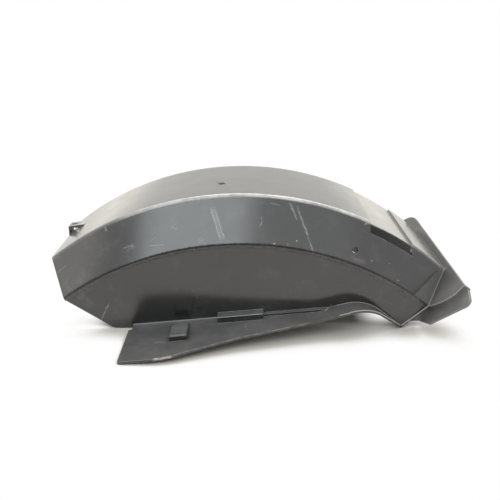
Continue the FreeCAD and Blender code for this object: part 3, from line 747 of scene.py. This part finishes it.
@dataclass
class EdgeBead:
    """A thin raised bead that follows an edge of the moulding."""

    name: str
    path: list[Point]
    radius: float = 0.0008
    spacing: float = 0.0015
    sides: int = 10
    body: str = "root"

    def tree(self) -> bpy.types.NodeTree:
        """Builds the tree that sweeps a round section along a path.

        Returns:
            The tree, with inputs Path, Radius, Spacing and Finish.
        """
        tree = bpy.data.node_groups.new("edge_bead", "GeometryNodeTree")
        inputs = {"Path": "Geometry", "Radius": "Float", "Spacing": "Float", "Finish": "Material"}
        for label, kind in inputs.items():
            tree.interface.new_socket(name=label, in_out="INPUT", socket_type=f"NodeSocket{kind}")
        tree.interface.new_socket(name="Bead", in_out="OUTPUT", socket_type="NodeSocketGeometry")
        bench = NodeBench(tree)
        entry = bench.add("NodeGroupInput").outputs
        leave = bench.add("NodeGroupOutput").inputs
        line = bench.add("GeometryNodeMeshToCurve")
        bench.link(entry["Path"], line.inputs["Mesh"])
        even = bench.add("GeometryNodeResampleCurve", mode="LENGTH")
        bench.link(line.outputs["Curve"], even.inputs["Curve"])
        bench.link(entry["Spacing"], even.inputs["Length"])
        ring = bench.add("GeometryNodeCurvePrimitiveCircle", mode="RADIUS")
        ring.inputs["Resolution"].default_value = self.sides
        bench.link(entry["Radius"], ring.inputs["Radius"])
        swept = bench.add("GeometryNodeCurveToMesh")
        swept.inputs["Fill Caps"].default_value = True
        bench.link(even.outputs["Curve"], swept.inputs["Curve"])
        bench.link(ring.outputs["Curve"], swept.inputs["Profile Curve"])
        real = bench.add("GeometryNodeRealizeInstances")
        bench.link(swept.outputs["Mesh"], real.inputs["Geometry"])
        dressed = bench.add("GeometryNodeSetMaterial")
        bench.link(real.outputs["Geometry"], dressed.inputs["Geometry"])
        bench.link(entry["Finish"], dressed.inputs["Material"])
        bench.link(dressed.outputs["Geometry"], leave["Bead"])
        return tree

    def build(self, finish: bpy.types.Material) -> bpy.types.Object:
        """Makes the bead as a plain mesh and hands it to the frame.

        Args:
            finish: The plastic it is dressed in.

        Returns:
            The finished piece.
        """
        mesh = bpy.data.meshes.new(self.name)
        mesh.from_pydata(self.path, [(i, i + 1) for i in range(len(self.path) - 1)], [])
        piece = bpy.data.objects.new(self.name, mesh)
        bpy.context.scene.collection.objects.link(piece)
        sweep = piece.modifiers.new("sweep", "NODES")
        sweep.node_group = self.tree()
        values = {"Radius": self.radius, "Spacing": self.spacing, "Finish": finish}
        for item in sweep.node_group.interface.items_tree:
            if item.in_out == "INPUT" and item.name in values:
                sweep[item.identifier] = values[item.name]
        evaluated = piece.evaluated_get(bpy.context.evaluated_depsgraph_get())
        swept = bpy.data.meshes.new_from_object(evaluated)
        piece.modifiers.remove(sweep)
        piece.data = swept
        for face in swept.polygons:
            face.use_smooth = len(face.vertices) == 4
        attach(piece, self.body)
        log.info("%s: %d faces", piece.name, len(swept.polygons))
        return piece


@dataclass(frozen=True)
class ArchedRib:
    """Top of the rib that bends down to the right foot, as run, reach and rise."""

    top: tuple[Point, ...] = (
        (0.0950, -0.1044, 0.0283), (0.1041, -0.1037, 0.0305), (0.1080, -0.1029, 0.0314),
        (0.1120, -0.1019, 0.0320), (0.1160, -0.1008, 0.0322), (0.1200, -0.0994, 0.0321),
        (0.1240, -0.0979, 0.0316), (0.1280, -0.0962, 0.0307), (0.1319, -0.0943, 0.0295),
        (0.1358, -0.0923, 0.0279), (0.1396, -0.0900, 0.0258), (0.1431, -0.0878, 0.0235),
        (0.1690, -0.0772, 0.0038),
    )
    wall: float = -0.0763

    def edge(self) -> list[Point]:
        """Follows the front edge of the rib's top."""
        return list(self.top)

    def root(self) -> list[Point]:
        """Follows the corner between the rib's top and the wall."""
        return [(run, self.wall, rise) for run, _, rise in self.top]


@dataclass(frozen=True)
class StudioFloor:
    """White floor that keeps the part's soft shadow."""

    half: float = 6.0
    # beige, darker than white: it shows only where the painted shadow lets the diffuse floor through
    colour: Colour = (0.72, 0.685, 0.63, 1.0)
    shadow_reach: float = 0.055
    shadow_samples: int = 16
    shadow_fade: Ramp = Ramp((0.64, 0.90))
    mirrored_white: Colour = (1.0, 0.97, 0.92, 1.0)
    under_length: Ramp = Ramp((0.13, 0.17), (1.0, 0.0))
    under_width: Ramp = Ramp((0.085, 0.110), (1.0, 0.0))

    def finish(self) -> bpy.types.Material:
        """Builds the floor's finish, white away from the part and shadowed near it.

        Returns:
            The material.
        """
        material = bpy.data.materials.new("floor_white")
        material.use_nodes = True
        material.node_tree.nodes.clear()
        bench = NodeBench(material.node_tree)
        paper = bench.add("ShaderNodeBsdfDiffuse")
        paper.inputs["Color"].default_value = self.colour
        path = bench.add("ShaderNodeLightPath").outputs
        # painted contact shadow: near the part, an occlusion mask turns the white floor into the
        # darker diffuse floor
        open_sky = bench.add("ShaderNodeAmbientOcclusion", samples=self.shadow_samples)
        open_sky.inputs["Distance"].default_value = self.shadow_reach
        away = bench.spread(open_sky.outputs["AO"], self.shadow_fade)
        place = bench.add("ShaderNodeTexCoord").outputs["Object"]
        spot = bench.split(bench.vector("SUBTRACT", place, CREST).outputs["Vector"])
        # painted shade under the arch: a box there keeps the darker diffuse floor
        along = bench.spread(bench.math("ABSOLUTE", spot["X"]), self.under_length)
        across = bench.spread(bench.math("ABSOLUTE", spot["Y"]), self.under_width)
        clear = bench.math("SUBTRACT", 1.0, bench.math("MULTIPLY", along, across))
        away = bench.math("MULTIPLY", away, clear)
        mirrored = bench.math("MAXIMUM", path["Is Glossy Ray"], path["Is Transmission Ray"])
        shown = bench.math("MAXIMUM", path["Is Camera Ray"], mirrored)
        white = bench.add("ShaderNodeEmission")
        shade = bench.blend(path["Is Camera Ray"], self.mirrored_white, WHITE)
        bench.link(shade, white.inputs["Color"])
        both = bench.add("ShaderNodeMixShader")
        bench.link(bench.math("MULTIPLY", away, shown), both.inputs[0])
        bench.link(paper.outputs["BSDF"], both.inputs[1])
        bench.link(white.outputs["Emission"], both.inputs[2])
        output = bench.add("ShaderNodeOutputMaterial")
        bench.link(both.outputs["Shader"], output.inputs["Surface"])
        return material

    def build(self) -> bpy.types.Object:
        """Makes the floor.

        Returns:
            The floor's object.
        """
        mesh = bpy.data.meshes.new("studio_floor")
        half = self.half
        corners = [(-half, -half, 0), (half, -half, 0), (half, half, 0), (-half, half, 0)]
        mesh.from_pydata(corners, [], [(0, 1, 2, 3)])
        mesh.materials.append(self.finish())
        floor = bpy.data.objects.new("studio_floor", mesh)
        bpy.context.scene.collection.objects.link(floor)
        log.info("%s made", floor.name)
        return floor


@dataclass(frozen=True)
class SoftPanel:
    """A soft lamp panel given by its place, aim, size and brightness."""

    name: str
    place: Point
    aim: Point
    width: float
    height: float
    brightness: float
    tint: Tint = (1.0, 1.0, 1.0)

    def build(self) -> bpy.types.Object:
        """Makes the lamp.

        Returns:
            The lamp's object.
        """
        lamp = bpy.data.lights.new(self.name, "AREA")
        lamp.shape = "RECTANGLE"
        lamp.size = self.width
        lamp.size_y = self.height
        lamp.energy = self.brightness * math.pi * self.width * self.height
        lamp.color = self.tint
        item = bpy.data.objects.new(self.name, lamp)
        item.location = self.place
        aim = Vector(self.aim) - Vector(self.place)
        item.rotation_euler = aim.to_track_quat("-Z", "Y").to_euler()
        item.visible_camera = False
        bpy.context.scene.collection.objects.link(item)
        log.info("%s lit", self.name)
        return item


@dataclass(frozen=True)
class Studio:
    """Camera, lamps and white surroundings."""

    eye: Point = (-0.003882, -0.810750, 0.346700)
    pitch: float = math.radians(90.0 - 18.92)
    lens: float = 50.4
    sensor: float = 36.0
    clip_near: float = 0.01
    ambient: float = 0.95
    front: Ramp = Ramp((-0.88, -0.58), (1.0, 0.0))
    low: Ramp = Ramp((0.38, 0.60), (0.82, 0.0))
    back: Ramp = Ramp((0.10, 0.60))
    warm: Colour = (1.0, 0.985, 0.93, 1.0)
    panels: tuple[SoftPanel, ...] = (
        SoftPanel("horizon_panel", (0.0, 2.2, 0.16), (0.0, 0.0, 0.1),
                  width=5.0, height=0.30, brightness=0.60, tint=(1.0, 0.95, 0.80)),
        SoftPanel("strip_panel", (0.35, 1.10, 1.45), (0.0, -0.05, 0.10),
                  width=1.6, height=0.5, brightness=7.0),
        SoftPanel("window_panel", (-0.50, -1.4, 1.35), (-0.05, -0.07, 0.1),
                  width=1.1, height=0.9, brightness=2.3, tint=(0.89, 0.965, 0.98)),
        SoftPanel("side_glow_panel", (0.60, -1.4, 1.35), (0.05, -0.07, 0.1),
                  width=1.1, height=0.9, brightness=0.30, tint=(0.92, 0.97, 1.0)),
        SoftPanel("left_glow_panel", (-2.25, -1.2, 1.3), (-0.20, -0.06, 0.1),
                  width=0.8, height=0.9, brightness=0.7, tint=(1.0, 0.96, 0.90)),
    )

    def camera(self) -> bpy.types.Object:
        """Makes the camera at the photograph's view.

        Returns:
            The camera's object.
        """
        data = bpy.data.cameras.new("camera")
        data.sensor_width = self.sensor
        data.lens = self.lens
        data.clip_start = self.clip_near
        item = bpy.data.objects.new("camera", data)
        item.location = self.eye
        item.rotation_euler = Euler((self.pitch, 0.0, 0.0))
        bpy.context.scene.collection.objects.link(item)
        bpy.context.scene.camera = item
        return item

    def surroundings(self) -> None:
        """Sets the white surroundings, which are dim low down in front."""
        world = bpy.data.worlds.new("white_room")
        world.use_nodes = True
        world.node_tree.nodes.clear()
        bench = NodeBench(world.node_tree)
        heading = bench.split(bench.add("ShaderNodeTexCoord").outputs["Generated"])
        front = bench.spread(heading["Y"], self.front)
        low = bench.spread(heading["Z"], self.low)
        lit = bench.math("SUBTRACT", 1.0, bench.math("MULTIPLY", front, low))
        lit = bench.math("MULTIPLY", lit, self.ambient)
        seen = bench.add("ShaderNodeLightPath").outputs["Is Camera Ray"]
        glow = bench.add("ShaderNodeBackground")
        bench.link(bench.math("MAXIMUM", seen, lit), glow.inputs["Strength"])
        behind = bench.spread(heading["Y"], self.back)
        tint = bench.blend(behind, WHITE, self.warm)
        bench.link(bench.blend(seen, tint, WHITE), glow.inputs["Color"])
        output = bench.add("ShaderNodeOutputWorld")
        bench.link(glow.outputs["Background"], output.inputs["Surface"])
        bpy.context.scene.world = world

    def build(self) -> None:
        """Makes the camera, the lamps and the surroundings."""
        self.camera()
        self.surroundings()
        for panel in self.panels:
            panel.build()
        bpy.context.scene.view_settings.view_transform = "Standard"


MARKS: tuple[Mark, ...] = (
    Mark((-0.0474, -0.0564, 0.1377), (-0.0370, -0.0753, 0.1074), 0.0014, 0.44, MarkKind.SMEAR),
    Mark((-0.0435, -0.0566, 0.1378), (-0.0326, -0.0748, 0.1085), 0.0013, 0.40, MarkKind.SMEAR),
    Mark((0.0084, -0.0611, 0.1309), (0.0095, -0.0646, 0.1250), 0.0010, 0.28),
    Mark((0.0095, -0.0646, 0.1250), (0.0072, -0.0682, 0.1191), 0.0010, 0.28),
    Mark((0.0409, -0.0526, 0.1413), (0.0485, -0.0615, 0.1253), 0.0016, 0.50),
    Mark((0.0490, -0.0530, 0.1396), (0.0520, -0.0582, 0.1301), 0.0015, 0.28),
    Mark((0.0520, -0.0582, 0.1301), (0.0606, -0.0698, 0.1092), 0.0016, 0.42),
    Mark((0.0606, -0.0698, 0.1092), (0.0659, -0.0780, 0.0944), 0.0015, 0.34),
    Mark((0.0180, -0.0528, 0.1429), (0.0290, -0.0540, 0.1402), 0.0012, 0.22),
    Mark((-0.1644, -0.0763, 0.0311), (-0.1750, -0.0763, 0.0099), 0.0010, 0.32),
    Mark((-0.2250, -0.0605, 0.0617), (-0.2153, -0.0598, 0.0700), 0.0009, 0.28),
    Mark((-0.0083, -0.1011, 0.0152), (-0.0083, -0.1139, 0.0152), 0.0009, 0.28),
    Mark((0.0809, -0.0845, 0.0249), (0.0849, -0.0783, 0.0258), 0.0013, 0.70),
    Mark((0.0849, -0.0783, 0.0258), (0.0885, -0.0763, 0.0287), 0.0013, 0.70),
    Mark((-0.1457, -0.0679, 0.0944), (-0.1318, -0.0694, 0.0973), 0.0011, 0.32),
    Mark((-0.1428, -0.0673, 0.0966), (-0.1348, -0.0679, 0.0986), 0.0009, 0.24),
    Mark((-0.1348, -0.0676, 0.0991), (-0.1352, -0.0705, 0.0941), 0.0009, 0.26),
    Mark((-0.1409, -0.0697, 0.0933), (-0.1346, -0.0700, 0.0952), 0.0009, 0.22),
    Mark((-0.1154, -0.0691, 0.1031), (-0.1120, -0.0688, 0.1048), 0.0009, 0.22),
    Mark((-0.1120, -0.0688, 0.1048), (-0.1087, -0.0678, 0.1074), 0.0009, 0.22),
    Mark((-0.1164, -0.0716, 0.0987), (-0.0994, -0.0739, 0.0998), 0.0007, 0.26),
    Mark((-0.0931, -0.0636, 0.1183), (-0.0857, -0.0659, 0.1161), 0.0009, 0.29),
    Mark((-0.0875, -0.0631, 0.1205), (-0.0914, -0.0650, 0.1164), 0.0009, 0.26),
    Mark((-0.0626, -0.0736, 0.1075), (-0.0525, -0.0769, 0.1033), 0.0008, 0.26),
    Mark((-0.0603, -0.0761, 0.1037), (-0.0537, -0.0739, 0.1082), 0.0008, 0.22),
    Mark((-0.0581, -0.0730, 0.1090), (-0.0553, -0.0765, 0.1038), 0.0008, 0.22),
    # painted highlights at the strap seat's ends, drawn as pale marks
    Mark((0.1256, -0.0524, 0.1172), (0.1305, -0.0492, 0.1198), 0.0012, 0.80),
    Mark((0.1286, -0.0517, 0.1171), (0.1322, -0.0496, 0.1188), 0.0010, 0.60),
    Mark((0.1844, -0.0450, 0.0912), (0.1814, -0.0515, 0.0849), 0.0015, 0.80),
    Mark((-0.0454, -0.0565, 0.1378), (-0.0348, -0.0750, 0.1080), 0.0036, 0.17, MarkKind.SCUFF),
    Mark((-0.1688, -0.0496, 0.1142), (-0.1665, -0.0533, 0.1098), 0.0018, 0.30, MarkKind.SCUFF),
    Mark((0.1105, -0.0758, 0.0843), (0.1238, -0.0748, 0.0802), 0.0040, 0.10, MarkKind.SCUFF),
    Mark((-0.1040, -0.1646, 0.0053), (-0.0840, -0.1610, 0.0072), 0.0019, 0.90, MarkKind.SCUFF),
    Mark((-0.1066, -0.1275, 0.0062), (-0.0958, -0.1271, 0.0072), 0.0040, 0.14, MarkKind.SCUFF),
    Mark((0.0222, -0.0776, 0.1024), (0.0230, -0.0776, 0.1024), 0.0012, 1.00, MarkKind.SPECK),
    Mark((0.0377, -0.0772, 0.1011), (0.0385, -0.0772, 0.1011), 0.0012, 1.00, MarkKind.SPECK),
    Mark((0.0478, -0.0740, 0.1047), (0.0486, -0.0740, 0.1047), 0.0013, 1.00, MarkKind.SPECK),
    Mark((0.1323, -0.0723, 0.0806), (0.1330, -0.0723, 0.0803), 0.0011, 0.90, MarkKind.SPECK),
    Mark((0.1535, -0.0686, 0.0762), (0.1541, -0.0686, 0.0759), 0.0009, 0.80, MarkKind.SPECK),
    Mark((0.1629, -0.0755, 0.0589), (0.1636, -0.0755, 0.0585), 0.0010, 0.80, MarkKind.SPECK),
    Mark((-0.0860, -0.1040, 0.0151), (-0.0845, -0.1210, 0.0152), 0.0070, 0.07, MarkKind.SMEAR),
    Mark((-0.0780, -0.1040, 0.0158), (-0.0765, -0.1210, 0.0159), 0.0070, 0.07, MarkKind.SMEAR),
    Mark((-0.0658, -0.0787, 0.0952), (-0.0647, -0.0787, 0.0952), 0.0010, 0.80, MarkKind.SPECK),
    Mark((0.1108, -0.0688, 0.0902), (0.1124, -0.0692, 0.0893), 0.0020, 0.80, MarkKind.SPECK),
)
SHELF_EDGE: tuple[Point, ...] = (
    (-0.0847, -0.1602, 0.0078), (-0.0646, -0.1513, 0.0097), (-0.0358, -0.1392, 0.0125),
    (-0.0199, -0.1326, 0.0140), (0.0124, -0.1229, 0.0169), (0.0453, -0.1133, 0.0200),
    (0.0621, -0.1084, 0.0215),
)
# painted highlight along the shelf's front edge, drawn as pale marks
SHELF_EDGE_HIGHLIGHT = tuple(
    Mark(start, end, width=0.0013, strength=0.24) for start, end in zip(SHELF_EDGE, SHELF_EDGE[1:])
)
LEDGE_EDGE: list[Point] = [(-0.0410, -0.0903, 0.0192), (0.0106, -0.0903, 0.0239)]


def main() -> None:
    """Builds the part, its floor and its light in order."""
    plastic = MouldedPlastic(marks=MARKS + SHELF_EDGE_HIGHLIGHT).build()
    # pale bead finish: painted highlight along the edges the beads follow
    rubbed_highlight = MouldedPlastic(
        name="bead_highlight_plastic", base=(0.30, 0.30, 0.29, 1.0), faded=(0.48, 0.48, 0.47, 1.0)
    ).build()
    FenderShell().build(plastic)
    flange = EndFlange()
    EdgeBead("crease_bead", flange.crease()).build(rubbed_highlight)
    EdgeBead("shoulder_end_bead", flange.shoulder_end()).build(rubbed_highlight)
    rib = ArchedRib()
    EdgeBead("rib_edge_bead", rib.edge(), radius=0.0006).build(rubbed_highlight)
    EdgeBead("rib_root_bead", rib.root(), radius=0.0004).build(rubbed_highlight)
    EdgeBead("ledge_bead", LEDGE_EDGE, radius=0.0005).build(rubbed_highlight)
    StudioFloor().build()
    Studio().build()


if __name__ == "__main__":
    main()
